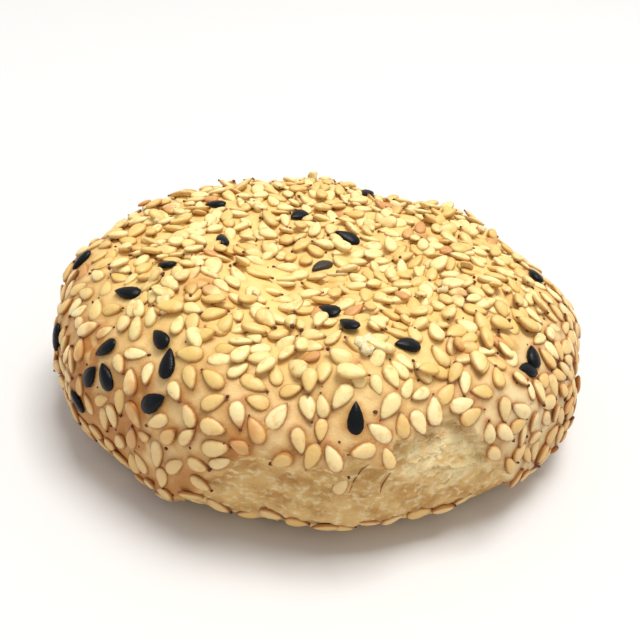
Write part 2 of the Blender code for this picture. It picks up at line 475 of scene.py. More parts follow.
def fine_relief(angle, z, still):
    """Crumbly stepped layers where the dough has come apart, soft level folds and blisters where only the
    skin is gone, a lip along the tear, and faint puckers on the skin. All but the steps and lip are waves."""
    _, bare, off_lip = torn(angle, z, still)
    apart = flakiness(angle, z, still)
    crumbly = 0.00010 * ripple(still, 0.0021, 21) + 0.00005 * ripple(still, 0.0011, 22)
    stepped = LAYER_STEP * (0.5 - layers(z, still))
    folds = 0.00012 * ripple(still * LEVEL, 0.0075, 23) + 0.00008 * ripple(still * LEVEL, 0.0034, 24)
    blisters = 0.00008 * ripple(still, 0.0019, 28) + 0.00009 * np.maximum(ripple(still, 0.0013, 25), 0) ** 2
    lip = 0.00022 * np.exp(-((off_lip / 0.0005) ** 2)) * (1 + ripple(still, 0.004, 16))
    skin = 0.00010 * ripple(still, 0.0042, 17) + 0.00004 * ripple(still, 0.0017, 18)
    return bare * (apart * (crumbly + stepped) + (1 - apart) * (folds + blisters)) + (1 - bare) * (lip + skin)


def dough(angle, share, out=0.0, fine=False):
    """A point of the skin: the turned body, leaned and dimpled, then moved along its normal by its lumps less
    the depth of the tears, and by out."""
    still, r, z, normal_r, normal_z = turned(angle, share)
    off_middle = np.linalg.norm(still[..., :2] - DIMPLE_MIDDLE, axis=-1)
    dimple = DIMPLE_DEPTH * (1 - smooth(off_middle / DIMPLE_RADIUS)) * smooth(z / HEIGHT * 2 - 1)
    lift = z * LEAN * np.cos(angle - LEAN_ANGLE) * (r / RADIUS) - dimple
    push = LUMP_HEIGHT * (ripple(still, LUMP_LENGTH, 3) + 0.4 * ripple(still, LUMP_LENGTH / 2, 4))
    push = push - torn(angle, z, still)[0]
    if fine:
        push = push + fine_relief(angle, z, still)
    push = push * smooth(z / 0.0020) + out
    r_out = r * outline(angle) + normal_r * push
    height = np.maximum(z + lift + normal_z * push, 0)
    return np.stack([r_out * np.cos(angle), r_out * np.sin(angle), height], axis=-1)


def unit(vectors):
    """The same directions at length 1."""
    return vectors / np.linalg.norm(vectors, axis=-1, keepdims=True)


def skin_frame(angle, share):
    """For each place: the point, and unit vectors across (round the bun), up (towards the crown) and out."""
    small = 2e-3
    here = dough(angle, share)
    across = unit(dough(angle + small, share) - here)
    out = unit(np.cross(across, dough(angle, share + small) - here))
    return here, across, np.cross(out, across), out


PROFILE_LENGTH = float(np.hypot(np.diff(PROFILE[1]), np.diff(PROFILE[2])).sum())
print("profile length in mm:", round(1000 * PROFILE_LENGTH, 1))

# %% [markdown]
# ## Where the seeds lie
#
# Seeds stick where they happen to fall, but never two in one place. Each try picks a random spot and
# heading, and is kept if it is far enough from those already kept. A seed is tested as three discs along
# its length. On the crown the discs may overlap a little, which packs the seeds; on the sides hardly at
# all. The dark seeds are the first to be placed, because the eye goes to them.

# %% Seed sizes and the dark seeds
SEED_LENGTH = 0.00318
SEED_WIDTH = 0.00184
SEED_THICKNESS = 0.00092
DISCS = np.array(((0.20, 0.50), (-0.12, 0.42), (-0.36, 0.22)))  # place in seed lengths, radius in widths

# The dark seeds that show from the front: degrees from the front, share of the way up the skin, and where the
# blunt end points, in degrees from uphill
DARK_SEEDS = (
    (-155.5, 0.828, 239), (146.8, 0.913, 251), (-64.2, 0.630, 65), (-5.8, 0.944, 32), (-58.5, 0.530, 52),
    (3.5, 0.720, 139), (9.0, 0.638, 152), (-38.2, 0.503, 107), (-49.5, 0.424, 34), (-32.5, 0.467, 155),
    (24.0, 0.589, 94), (57.8, 0.467, 226), (52.8, 0.454, 115), (-50.2, 0.359, 200), (-45.5, 0.381, 130),
    (-31.5, 0.391, 227), (-54.0, 0.283, 116), (8.2, 0.444, 181), (93.5, 0.512, 259), (-70.8, 0.330, 344),
    (166.8, 0.569, 191), (-85.2, 0.446, 330), (-84.2, 0.766, 83), (-123.0, 0.677, 345),
)
HIDDEN_DARK_SEEDS = 24

# The row of seeds under the torn band: degrees from the front, how many, and their height
RIM_FIRST = -17.0
RIM_STEP = 5.0
RIM_SEEDS = 11
RIM_HEIGHT = 0.0045


# %% Scattering by rejection
def heading(across, up, spin):
    """Unit vectors along and beside a seed, in the skin's plane, turned by spin from uphill."""
    c, s = np.cos(spin)[..., None], np.sin(spin)[..., None]
    return up * c + across * s, across * c - up * s


def discs_of(angle, share, spin, size):
    """The middles of each seed's three discs, and their radii."""
    here, across, up, _ = skin_frame(angle, share)
    along = heading(across, up, spin)[0]
    steps = DISCS[:, 0] * SEED_LENGTH * size[:, None]
    return here[:, None] + along[:, None] * steps[..., None], DISCS[:, 1] * SEED_WIDTH * size[:, None]


# How far two seeds may overlap, in metres: anywhere, and how much more on the right shoulder and the crown
SIDE_OVERLAP = 0.00014
SHOULDER_OVERLAP = 0.00020
CROWN_OVERLAP = 0.00038


def on_crown(height):
    """0 on the sides, 1 on the crown, and an S curve of the height between."""
    return smooth((height / HEIGHT - 0.80) / 0.14)


def crowding(angle, share):
    """How far two seeds may overlap here: up to a quarter of a width on the crown, in patches, less on the
    right shoulder, and next to nothing on the other sides."""
    still, _, z, _, _ = turned(angle, share)
    crown = on_crown(z)
    patchy = smooth(0.5 + 0.6 * ripple(still, 0.011, 31))
    on_right = smooth(np.cos(angle - FRONT - math.radians(85)) * 1.6 - 0.4)
    shoulder = on_right * smooth((z / HEIGHT - 0.45) / 0.2)
    on_side = SIDE_OVERLAP + SHOULDER_OVERLAP * shoulder * (1 - crown)
    return on_side + CROWN_OVERLAP * crown * (0.5 + 0.5 * patchy)


SMOOTH_PATCH = (FRONT - math.radians(36), 0.0118)  # angle and radius of a bare spot on the crown
PATCH_SIZE = np.array([0.0076, 0.0066, 0.0100])


def barren(angle, share):
    """How unlikely a seed is here, 0 to 1: torn places, the edge of the base, and a bare spot on the crown,
    which is a steep bell curve."""
    still, _, z, _, _ = turned(angle, share)
    turn, reach = SMOOTH_PATCH
    middle = np.array([reach * math.cos(turn), reach * math.sin(turn), HEIGHT])
    spot = np.exp(-((((still - middle) / PATCH_SIZE) ** 2).sum(-1) ** 2))
    low = smooth((0.0038 - z) / 0.0020)
    band = np.clip(3 * torn(angle, z, still)[1], 0, 1)
    return np.clip(band + spot * 0.93 + low * 0.85, 0, 1)


def scatter(tries, kept, extra_gap, seed, lowest=0.0016, highest=1.0):
    """Random places tried in turn; one that is clear of the kept discs is added. Returns the seeds and all
    discs."""
    rng = np.random.default_rng(seed)
    fine = np.linspace(share_at(lowest), highest, 4000)
    area = np.cumsum(np.interp(fine, PROFILE[0], PROFILE[1]))
    share = np.interp(rng.uniform(0, area[-1], tries), area, fine)
    angle = rng.uniform(-math.pi, math.pi, tries)
    spin = rng.uniform(-math.pi, math.pi, tries)
    size = rng.normal(1.0, 0.075, tries).clip(0.8, 1.18)
    middles, radii = discs_of(angle, share, spin, size)
    may_overlap = crowding(angle, share) - extra_gap
    all_middles, all_radii = kept
    rows = []
    for i in np.flatnonzero(rng.uniform(size=tries) > barren(angle, share)):
        near = np.abs(all_middles[:, 1] - middles[i, 1]).max(axis=-1) < 1.6 * SEED_LENGTH
        apart = np.linalg.norm(all_middles[near][:, :, None] - middles[i], axis=-1)
        if (apart - all_radii[near][:, :, None] - radii[i] > -may_overlap[i]).all():
            all_middles = np.concatenate([all_middles, middles[i : i + 1]])
            all_radii = np.concatenate([all_radii, radii[i : i + 1]])
            rows.append(i)
    return np.stack([angle, share, spin, size])[:, rows], (all_middles, all_radii)


# %% Dark seeds first, then the pale ones, then a few that lie on others
noted = np.array(DARK_SEEDS, float)
dark_seeds = np.stack(
    [
        FRONT + np.radians(noted[:, 0]),
        noted[:, 1],
        np.radians(noted[:, 2]),
        np.random.default_rng(8).uniform(1.06, 1.18, len(noted)),
    ]
)
more_dark, _ = scatter(600, discs_of(*dark_seeds), 0.004, 9)
at_back = (np.cos(more_dark[0] - FRONT) < 0.1) & (height_at(more_dark[1]) < 0.75 * HEIGHT)
more_dark = more_dark[:, at_back][:, :HIDDEN_DARK_SEEDS]
dark_seeds = np.concatenate([dark_seeds, more_dark], axis=1)

# A row of seeds lies end to end along the rim, under the torn band
rim_rng = np.random.default_rng(12)
rim_turn = np.radians(RIM_FIRST + RIM_STEP * np.arange(RIM_SEEDS) + rim_rng.normal(0, 0.6, RIM_SEEDS))
rim_spin = math.radians(90) * rim_rng.choice([-1, 1], RIM_SEEDS) + rim_rng.normal(0, 0.38, RIM_SEEDS)
rim_share = share_at(rim_rng.normal(RIM_HEIGHT, 0.0004, RIM_SEEDS))
rim_seeds = np.stack([FRONT + rim_turn, rim_share, rim_spin, rim_rng.uniform(0.85, 1.05, RIM_SEEDS)])

# Nothing may lie on a dark seed, so their discs count as a little larger than they are
DARK_MARGIN = 0.00025
PALE_TRIES = 30000
UPPER_TRIES = 1500

dark_middles, dark_radii = discs_of(*dark_seeds)
rim_middles, rim_radii = discs_of(*rim_seeds)
first_middles = np.concatenate([dark_middles, rim_middles])
first_radii = np.concatenate([dark_radii + DARK_MARGIN, rim_radii])
pale_seeds, kept = scatter(PALE_TRIES, (first_middles, first_radii), 0.0, 5)
pale_seeds = np.concatenate([rim_seeds, pale_seeds], axis=1)
kept = (kept[0], np.concatenate([dark_radii, kept[1][len(dark_radii) :]]))
upper_seeds, _ = scatter(UPPER_TRIES, (dark_middles, dark_radii), 0.0011, 6, lowest=0.85 * HEIGHT)
print("dark, pale and upper seeds:", dark_seeds.shape[1], pale_seeds.shape[1], upper_seeds.shape[1])

# How densely the pale seeds lie on a belt of the side
BELT = share_at(np.array([0.0145, 0.0185]))
in_belt = (pale_seeds[1] > BELT[0]) & (pale_seeds[1] < BELT[1])
belt_area = 2 * math.pi * RADIUS * float(BELT[1] - BELT[0]) * PROFILE_LENGTH * 1e4
print("seeds in a square centimetre of the side:", round(float(in_belt.sum()) / belt_area, 1))

# %% [markdown]
# ## One seed's shape
#
# A hulled sesame seed is a flattened drop: round at one end, pointed at the other, with softly domed faces.
# Its outline is a power of the distance from the tip times a square root at the blunt end. The same few
# dozen faces serve for every seed, so most of the points across it are on the side that shows.

# %% The seed as a grid
SEED_RINGS = np.array([0.045, 0.16, 0.34, 0.56, 0.77, 0.92, 0.985])
SEED_SPOKES = np.radians([-14, 16, 50, 90, 130, 164, 194, 270])


def seed_shape():
    """Half width c t^0.92 (1-t)^0.5 and half thickness d t^0.6 (1-t)^0.5 at share t from the tip, a flattened
    ellipse round each ring. Returns points for a seed 1 long, wide and thick, and t at each."""
    t = SEED_RINGS[:, None]
    wide, thick = t**0.92 * (1 - t) ** 0.5, t**0.6 * (1 - t) ** 0.5
    x = wide / wide.max() / 2 * np.cos(SEED_SPOKES)
    z = thick / thick.max() / 2 * np.sign(np.sin(SEED_SPOKES)) * np.abs(np.sin(SEED_SPOKES)) ** 0.85
    y = (t - 0.5) * np.ones_like(x)
    points = np.concatenate([np.stack([x, y, z], axis=-1).reshape(-1, 3), [[0, -0.5, 0], [0, 0.5, 0]]])
    return points, np.concatenate([np.repeat(SEED_RINGS, len(SEED_SPOKES)), [0, 1]])


SEED_POINTS, SEED_ALONG = seed_shape()
SEED_FACES = closed_ball(len(SEED_RINGS), len(SEED_SPOKES), flip=True)
SEED_EDGE = 1 - smooth(SEED_POINTS[:, 2] / 0.42)  # 0 on the back of the seed, 1 at its edge and under it
SEEDS_HIGHEST = 0.0247  # no seed stands above this level
print("faces on one seed:", len(SEED_FACES))


def set_seeds(seeds, lift, tilt, seed):
    """The one shape, sized, bent, tilted and set on the skin at each place: more tilted on the crown, where
    seeds prop each other up, and pressed down where it would stand too high. Returns points, tips and
    outward vectors."""
    rng = np.random.default_rng(seed)
    angle, share, spin, size = seeds
    here, across, up, out = skin_frame(angle, share)
    along, beside = heading(across, up, spin)
    propped = on_crown(height_at(share))[:, None]
    nod, roll = rng.normal(0, tilt, (2, len(angle), 1)) * (1 + 1.2 * propped)
    along, out = along * np.cos(nod) + out * np.sin(nod), out * np.cos(nod) - along * np.sin(nod)
    beside, out = beside * np.cos(roll) + out * np.sin(roll), out * np.cos(roll) - beside * np.sin(roll)
    sizes = size[:, None] * np.array([SEED_WIDTH, SEED_LENGTH, SEED_THICKNESS])
    sizes *= rng.normal(1, (0.06, 0.03, 0.12), (len(angle), 3)).clip(0.7, 1.3)
    middle = here + (lift + 0.00012 * propped + rng.normal(0, 0.00009, (len(angle), 1))) * out
    local = SEED_POINTS * sizes[:, None]
    local[..., 0] += rng.normal(0, 0.05, (len(angle), 1)) * SEED_LENGTH * (SEED_ALONG - 0.6) ** 2
    placed = middle[:, None] + local @ np.stack([beside, along, out], axis=1)
    too_high = np.maximum(placed[..., 2].max(axis=1) - SEEDS_HIGHEST, 0)
    middle[:, 2] -= too_high
    placed[..., 2] -= too_high[:, None]
    return placed, middle - along * sizes[:, 1:2] * 0.5, out


# %% [markdown]
# ## Finishes of the seeds
#
# Pale sesame runs from ivory to a toasted tan, seed by seed, and each seed is browner at its tip. Round its
# edge and under it is a browner ring, partly glaze and partly painted contact shade, which leaves its back
# lighter; seeds low on the sides are painted darker, partly browning and partly painted shade. Dark sesame is
# nearly black, with a fine net of ridges and a soft shine. One number per seed, its tone, picks its colour, and
# three numbers per point say how far it is from the tip, how near the edge and how burnt.


# %% Burnt spots
# Degrees from the front, distance from the middle, and width
TOAST_SPOTS = (
    (-44.8, 0.0207, 0.0024),
    (-53, 0.0335, 0.0026),
    (-36, 0.0345, 0.0018),
    (-12, 0.0345, 0.0016),
    (38, 0.0265, 0.0015),
    (60, 0.0200, 0.0013),
    (115, 0.0151, 0.0018),
    (150, 0.0180, 0.0020),
    (-110, 0.0240, 0.0018),
)


def toasted(places):
    """Strength of the burnt spots: a sum of bell curves over their middles, made ragged by waves."""
    found = np.zeros(places.shape[:-1])
    for degrees, reach, width in TOAST_SPOTS:
        turn = FRONT + math.radians(degrees)
        middle = reach * np.array([math.cos(turn), math.sin(turn)])
        off = np.linalg.norm(places[..., :2] - middle, axis=-1)
        found = found + np.exp(-((off / width) ** 2)) * (places[..., 2] > WAIST)
    return 0.45 * found * (1 + 0.5 * ripple(places, 0.0015, 27))


# %% Seed materials
def pale_seed_finish():
    """Ivory, gold or tan by tone, yellower on the crown, browner at the tip and where the crust is burnt;
    darker low on the sides, partly browning and partly painted shade; a painted contact shade round the edge
    and under it, partly glaze and weaker on the crown; a dull oily shine."""
    material, tree, shader, place = new_material("pale_sesame")
    tone, along = attribute(tree, "tone"), attribute(tree, "along")
    ivory = blend_colours(tree, spread(tree, tone, 0.10, 0.95), shown(250, 228, 172), shown(232, 194, 122))
    height = add_node(tree, "SeparateXYZ", {"Vector": place}).outputs["Z"]
    upper = spread(tree, height, 0.0165, 0.0225)
    gold = blend_colours(tree, spread(tree, tone, 0.35, 0.80), shown(254, 232, 158), shown(240, 204, 118))
    ivory = blend_colours(tree, times(tree, upper, 0.7), ivory, gold)
    # Seeds low on the sides are painted darker: partly browning, partly painted shade.
    baked_and_shaded = times(tree, spread(tree, height, 0.0178, 0.0085), 0.62)
    ivory = blend_colours(tree, baked_and_shaded, ivory, shown(214, 168, 94))
    tan = blend_colours(tree, spread(tree, tone, 0.975, 0.99), ivory, shown(218, 160, 96))
    mottled = browned(tree, place, tan, shown(226, 178, 102), 900.0, 0.50, 0.80)
    burnt = times(tree, spread(tree, attribute(tree, "toast"), 0.05, 0.40), 0.6)
    mottled = blend_colours(tree, burnt, mottled, shown(204, 138, 74))
    # The rim is painted contact shade round each seed's edge and under it, partly glaze, kept weaker on the
    # crown.
    strength = reckon(tree, "SUBTRACT", 0.95, times(tree, upper, 0.50))
    rim = times(tree, spread(tree, attribute(tree, "edge"), 0.10, 0.85), strength)
    rimmed = blend_colours(tree, rim, mottled, shown(170, 106, 40))
    at_tip = times(tree, spread(tree, along, 0.18, 0.0), 0.8)
    connect(tree, shader.inputs["Base Color"], blend_colours(tree, at_tip, rimmed, shown(132, 78, 36)))
    shader.inputs["Roughness"].default_value = 0.40
    let_light_in(shader, 0.18, (0.8, 0.6, 0.3))
    add_grain(tree, shader, place, 2200.0, 0.25, 0.00006)
    return material


def dark_seed_finish():
    """Blue-black, a few greyer by tone, with a fine net of ridges."""
    material, tree, shader, place = new_material("dark_sesame")
    greyer = times(tree, spread(tree, attribute(tree, "tone"), 0.90, 0.97), 0.6)
    base = blend_colours(tree, greyer, shown(6, 9, 14), shown(84, 76, 64))
    mottled = browned(tree, place, base, shown(20, 22, 28), 1500.0, 0.55, 0.80)
    connect(tree, shader.inputs["Base Color"], mottled)
    shader.inputs["Roughness"].default_value = 0.32
    shader.inputs["Specular IOR Level"].default_value = 0.20
    add_grain(tree, shader, place, 1800.0, 0.5, 0.00004)
    return material


# %% The seeds as pieces
def make_seeds(name, sets, material, slot):
    """One piece for all the seeds of a kind. Each set is (seeds, lift, tilt, random seed)."""
    points, tips, outs = (np.concatenate(rows) for rows in zip(*(set_seeds(*one) for one in sets)))
    count, each = points.shape[:2]
    numbers = {
        "toast": toasted(points),
        "tone": np.repeat(np.random.default_rng(70).uniform(size=count), each),
        "along": np.tile(SEED_ALONG, count),
        "edge": np.tile(SEED_EDGE, count),
    }
    make_piece(name, points, renumber(SEED_FACES, count, each), material, slot, **numbers)
    return tips, outs


pale_sets = [(pale_seeds, 0.00020, 0.10, 51), (upper_seeds, 0.00076, 0.13, 52)]
dark_sets = [(dark_seeds, 0.00034, 0.06, 53)]
pale_tips, pale_outs = make_seeds("pale_seeds", pale_sets, pale_seed_finish(), "white_seed")
make_seeds("dark_seeds", dark_sets, dark_seed_finish(), "black_seed")

# %% [markdown]
# ## The dough
#
# The dough is the function above on a fine grid, closed at the crown and under the base. The glaze creeps
# up round each seed, so the grid rises near seeds, and the distance to the nearest seed is kept for the
# finish. That distance is found for all points at once, in batches, from the seeds' discs.

# %% Distance to the seeds
def off_seeds(points, middles, radii):
    """The distance from each point to the edge of the nearest disc, in metres; negative under a seed."""
    middles, radii = middles.reshape(-1, 3), radii.reshape(-1)
    nearest = []
    for batch in np.array_split(points, 40):
        square = (batch**2).sum(-1)[:, None] + (middles**2).sum(-1) - 2 * batch @ middles.T
        nearest.append((np.sqrt(np.maximum(square, 0)) - radii).min(-1))
    return np.concatenate(nearest)


# %% The dough's grid
DOUGH_COLUMNS = 512
DOUGH_ROWS = 172
BASE_ROWS = 14
BASE_LEVEL = 0.00005
CREEP_HEIGHT = 0.00016  # how far the glaze rises at a seed, and over what distance
CREEP_REACH = 0.00035

columns = np.linspace(-math.pi, math.pi, DOUGH_COLUMNS, endpoint=False)
rows = np.linspace(0, 0.9985, DOUGH_ROWS) ** 1.08
grid_angle, grid_share = np.meshgrid(columns, rows)
skin = dough(grid_angle, grid_share, fine=True)
frame_out = unit(np.cross(np.roll(skin, -1, axis=1) - skin, np.gradient(skin, axis=0)))
gap = off_seeds(skin.reshape(-1, 3), *kept).reshape(skin.shape[:2])
creep = np.exp(-((np.maximum(gap, 0) / CREEP_REACH) ** 2))
skin += CREEP_HEIGHT * (creep * smooth(grid_share / 0.05))[..., None] * frame_out
skin[..., 2] = np.maximum(skin[..., 2], 0)
print("share of the skin within 0.3 mm of a seed:", round(float((gap < 0.0003).mean()), 2))

# At the tips of some seeds the glaze has burnt to caramel
burnt_tips = pale_tips[np.random.default_rng(41).uniform(size=len(pale_tips)) < 0.45, None]
off_tip = off_seeds(skin.reshape(-1, 3), burnt_tips, np.zeros(burnt_tips.shape[:2])).reshape(skin.shape[:2])

# Under the base, rings grow from a small one round the middle to nearly the lowest ring of the skin
base_growth = np.linspace(0, 1, BASE_ROWS + 1)[:-1, None, None] ** 0.8
underside = skin[:1] * base_growth
underside[..., 2] = BASE_LEVEL * (1 + ripple(underside, 0.004, 19)) * (base_growth[..., 0] < 0.96)
underside[0, :, :2] = skin[0, :, :2] * 0.01
grid = np.concatenate([underside, skin])
points = np.concatenate([grid.reshape(-1, 3), [[0, 0, BASE_LEVEL], skin[-1].mean(0)]])
dough_faces = closed_ball(len(grid), DOUGH_COLUMNS)


# %% What the finish needs to know at each point
def for_points(values, under, over):
    """Values on the skin's grid, filled out for the underside's points and the two poles."""
    below = np.full(BASE_ROWS * DOUGH_COLUMNS, under)
    return np.concatenate([below, values.ravel(), [under, over]])


FLOURY_OVAL = (56, 44, 0.0105, 0.0100)  # degrees from the front, half width, middle height and half height
# How far the glaze and its painted contact shade reach from a seed's edge.
GLAZE_AND_SHADE_REACH = 0.00060
CARAMEL_REACH = 0.00050


def floury(angle, z, points):
    """How much raw, unglazed dough shows through the skin, 0 to 1: an oval of angle and height, in patches."""
    middle, half, height, half_height = FLOURY_OVAL
    oval = np.hypot(turn_from(angle, middle) / math.radians(half), (z - height) / half_height)
    return smooth((1.2 - oval) / 0.5) * smooth(0.7 + 0.4 * ripple(points, 0.0055, 29))


still, _, grid_height, _, _ = turned(grid_angle, grid_share)
bare = torn(grid_angle, grid_height, still)[1]
# The low mask paints the crust browner low down, and higher up at the left front: painted shade.
shaded_left_front = smooth(1.8 * np.cos(grid_angle - FRONT + math.radians(28)) - 0.8)  # brown reaches higher there
masks = {
    "bare": for_points(bare, 0, 0),
    "apart": for_points(flakiness(grid_angle, grid_height, still), 0, 0),
    "tooth": for_points(layers(grid_height, still), 0, 0),
    "toast": for_points(toasted(still), 0, 0),
    "floury": for_points(floury(grid_angle, grid_height, still), 0, 0),
    "glaze_and_shade": for_points(np.exp(-np.maximum(gap, 0) / GLAZE_AND_SHADE_REACH), 0, 1),
    "caramel": for_points(np.exp(-((off_tip / CARAMEL_REACH) ** 2)) * (1 - bare), 0, 0),
    "low": for_points(smooth((0.0105 + 0.0045 * shaded_left_front - grid_height) / 0.0085), 1, 0),
    "crown": for_points(smooth((grid_height / HEIGHT - 0.72) / 0.25), 0, 1),
}

# %% [markdown]
# ## Finish of the dough
#
# Where the skin is whole it is glazed and golden, and it is painted darker on the sides than on the crown,
# partly for the glaze and partly as painted shade. It is painted more orange lower down, which is painted
# shade, and round the seeds, where the egg wash gathers and painted contact shade darkens it too. Where it is
# torn, the dough is dry and pale, painted lighter on the proud edges of its layers and browner in the gaps
# between them, as painted light and shade. Both are one material, because they are one surface: the masks that
# were worked out with the shape blend the two.


# %% Colour of the whole skin
def skin_colour(tree, place):
    """Golden, darker on the sides than on the crown, browned in clouds and at burnt spots, raw in patches; the
    extra brown low down is painted shade, and the darker sides are partly painted shade. Amber round the seeds,
    with a darker ring at their edges, is partly pooled glaze and partly painted contact shade; caramel at burnt
    tips."""
    glaze_and_shade, crown = attribute(tree, "glaze_and_shade"), attribute(tree, "crown")
    mottle = spread(tree, noise(tree, place, 420.0, 6.0), 0.38, 0.62)
    # The sides are painted darker than the crown: partly more glaze on top, partly painted shade.
    side = blend_colours(tree, mottle, shown(236, 204, 146), shown(218, 176, 112))
    golden = blend_colours(tree, crown, side, shown(246, 214, 140))
    # The extra brown low down is painted shade; the burnt spots are toasted crust.
    extra = reckon(tree, "ADD", times(tree, attribute(tree, "low"), 0.26), attribute(tree, "toast"))
    skin = browned(tree, place, golden, shown(186, 122, 58), 140.0, 0.52, 0.90, extra)
    raw = times(tree, attribute(tree, "floury"), 0.9)
    skin = blend_colours(tree, raw, skin, shown(238, 218, 168))
    # The amber halo and the darker ring round each seed are partly pooled glaze and partly painted contact
    # shade; both are lighter on the crown.
    halo = times(tree, glaze_and_shade, reckon(tree, "SUBTRACT", 0.50, times(tree, raw, 0.36)))
    amber = blend_colours(tree, crown, shown(208, 152, 80), shown(246, 208, 126))
    pooled_and_shaded = blend_colours(tree, halo, skin, amber)
    ring = times(tree, reckon(tree, "POWER", glaze_and_shade, 3.0), 0.60)
    dark_amber = blend_colours(tree, crown, shown(150, 92, 36), shown(234, 188, 108))
    pooled_and_shaded = blend_colours(tree, ring, pooled_and_shaded, dark_amber)
    return blend_colours(tree, times(tree, attribute(tree, "caramel"), 0.6), pooled_and_shaded, shown(184, 100, 44))


# %% Colour of the torn places
def torn_colour(tree, place):
    """Tan clouds with pale flecks; where the layers are apart it is paler, painted lighter on the layers' proud
    edges and darker in the gaps under them, as painted light and shade.
    """
    tooth = attribute(tree, "tooth")
    stretched = add_node(tree, "Mapping", {"Vector": place, "Scale": (1.0, 1.0, 1.5)}).outputs[0]
    cloud = spread(tree, noise(tree, stretched, 300.0, 6.0), 0.32, 0.68)
    inner = blend_colours(tree, cloud, shown(222, 184, 120), shown(188, 140, 76))
    pale = blend_colours(tree, cloud, shown(244, 222, 168), shown(216, 176, 110))
    # The layers' proud edges are painted lighter and the gaps under them darker: painted light and shade.
    lit_edges = times(tree, spread(tree, tooth, 0.55, 0.0), 0.5)
    dry = blend_colours(tree, lit_edges, pale, shown(245, 226, 176))
    shaded_gaps = times(tree, spread(tree, tooth, 0.80, 1.0), 0.6)
    dry = blend_colours(tree, shaded_gaps, dry, shown(168, 116, 62))
    dry = blend_colours(tree, attribute(tree, "apart"), inner, dry)
    flecks = times(tree, spread(tree, noise(tree, stretched, 1000.0, 4.0), 0.48, 0.68), 0.55)
    return blend_colours(tree, flecks, dry, shown(246, 228, 180))


# %% Dough material
def dough_finish():
    """Glazed skin, blended to dry torn dough by the bare mask; the dry part is duller and has more grain."""
    material, tree, shader, place = new_material("baked_dough")
    bare = attribute(tree, "bare")
    colour = blend_colours(tree, bare, skin_colour(tree, place), torn_colour(tree, place))
    connect(tree, shader.inputs["Base Color"], colour)
    sockets = {"Value": spread(tree, noise(tree, place, 700.0), 0.2, 0.8), "To Min": 0.50, "To Max": 0.66}
    glazed = add_node(tree, "MapRange", sockets).outputs["Result"]
    connect(tree, shader.inputs["Roughness"], reckon(tree, "ADD", glazed, times(tree, bare, 0.22)))
    shader.inputs["Specular IOR Level"].default_value = 0.35
    let_light_in(shader, 0.08, (1.0, 0.6, 0.25))
    add_grain(tree, shader, place, 900.0, 0.3, reckon(tree, "ADD", 0.00012, times(tree, bare, 0.00014)))
    return material


dough_piece = make_piece("dough", points, dough_faces, dough_finish(), "crust", **masks)
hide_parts("sesame_pastry")

# %% [markdown]
# ## Torn layers
#
# A laminated dough is dozens of thin sheets. Where the skin tears, their edges stand out over one another.
# Each is a strip: a flat cross-section, thick at its root and thin at its ragged free edge, carried round
# the bun. The long ones lie along ledges of the CAD solid, and short ones fill in between.

# %% Sizes of the strips
# Start and end in degrees from the front, the free edge's height at each, how proud it stands and how ragged
LEDGES = (
    (13, 26, 0.0134, 0.0162, 0.00032, 0.00026),
    (22, 40, 0.0128, 0.0098, 0.00034, 0.00026),
    (104, 142, 0.0064, 0.0076, 0.00070, 0.00040),
    (122, 156, 0.0038, 0.0052, 0.00070, 0.00040),
    (-154, -118, 0.0074, 0.0056, 0.00070, 0.00040),
)
LEDGE_REACH = 0.0026
LEDGE_THICKNESS = 0.0003
SHORT_FLAKES = 90
ROOT_DEPTH = 0.0004  # how deep the root and the ends lie in the dough
ACROSS = np.array([0.0, 0.35, 0.65, 0.88, 1.0])


def strip(start, end, low_start, low_end, reach, proud, thickness, ragged, seed, stations):
    """A grid of stations along by points round the section: out over the top from root to free edge, and back
    under. The free edge wanders at random; it stands out by a power of a sine along the strip and by x^1.4
    across it, and the ends sink into the dough."""
    rng = np.random.default_rng(seed)
    t = np.linspace(0, 1, stations)
    wander = np.convolve(rng.normal(size=stations + 4), np.ones(5) / 2.2, mode="valid")
    wander = wander + 0.3 * rng.normal(size=stations)
    free = low_start + (low_end - low_start) * t + ragged * wander
    curl = 1 + 0.35 * np.convolve(rng.normal(size=stations + 2), np.ones(3) / 1.7, mode="valid")
    stand = (proud * curl + ROOT_DEPTH) * np.sin(math.pi * t) ** 0.4 - ROOT_DEPTH
    across = np.concatenate([ACROSS, ACROSS[::-1]])[None, :]
    under = np.concatenate([np.zeros(len(ACROSS)), np.ones(len(ACROSS))])[None, :]
    top = (stand[:, None] + ROOT_DEPTH) * across**1.4 - ROOT_DEPTH
    out = top - under * thickness * (1.1 - 0.6 * across)
    share = share_at(free[:, None] + reach * (1 - across))
    angle = (FRONT + np.radians(start + (end - start) * t))[:, None] * np.ones_like(across)
    return dough(angle, share, out), np.broadcast_to(across, share.shape)


def short_flakes(count, seed):
    """Settings for short strips, spread at random over the ovals where the layers have come apart."""
    rng = np.random.default_rng(seed)
    found = []
    weights = np.array([half * half_height for _, half, _, half_height in APART])
    for pick in rng.choice(len(APART), count, p=weights / weights.sum()):
        middle, half, height, half_height = APART[pick]
        across, up = rng.uniform(-0.9, 0.9, 2)
        low = max(height + half_height * up, 0.0018)
        width, reach = rng.uniform(1.5, 5.0), rng.uniform(0.0006, 0.0013)
        start, end_low = middle + half * across - width / 2, max(low + rng.normal(0, 0.0009), 0.0012)
        proud = rng.uniform(0.00010, 0.00042)
        found.append((start, start + width, low, end_low, reach, proud, 0.00018, 0.00030, rng.integers(1e6), 9))
    return found


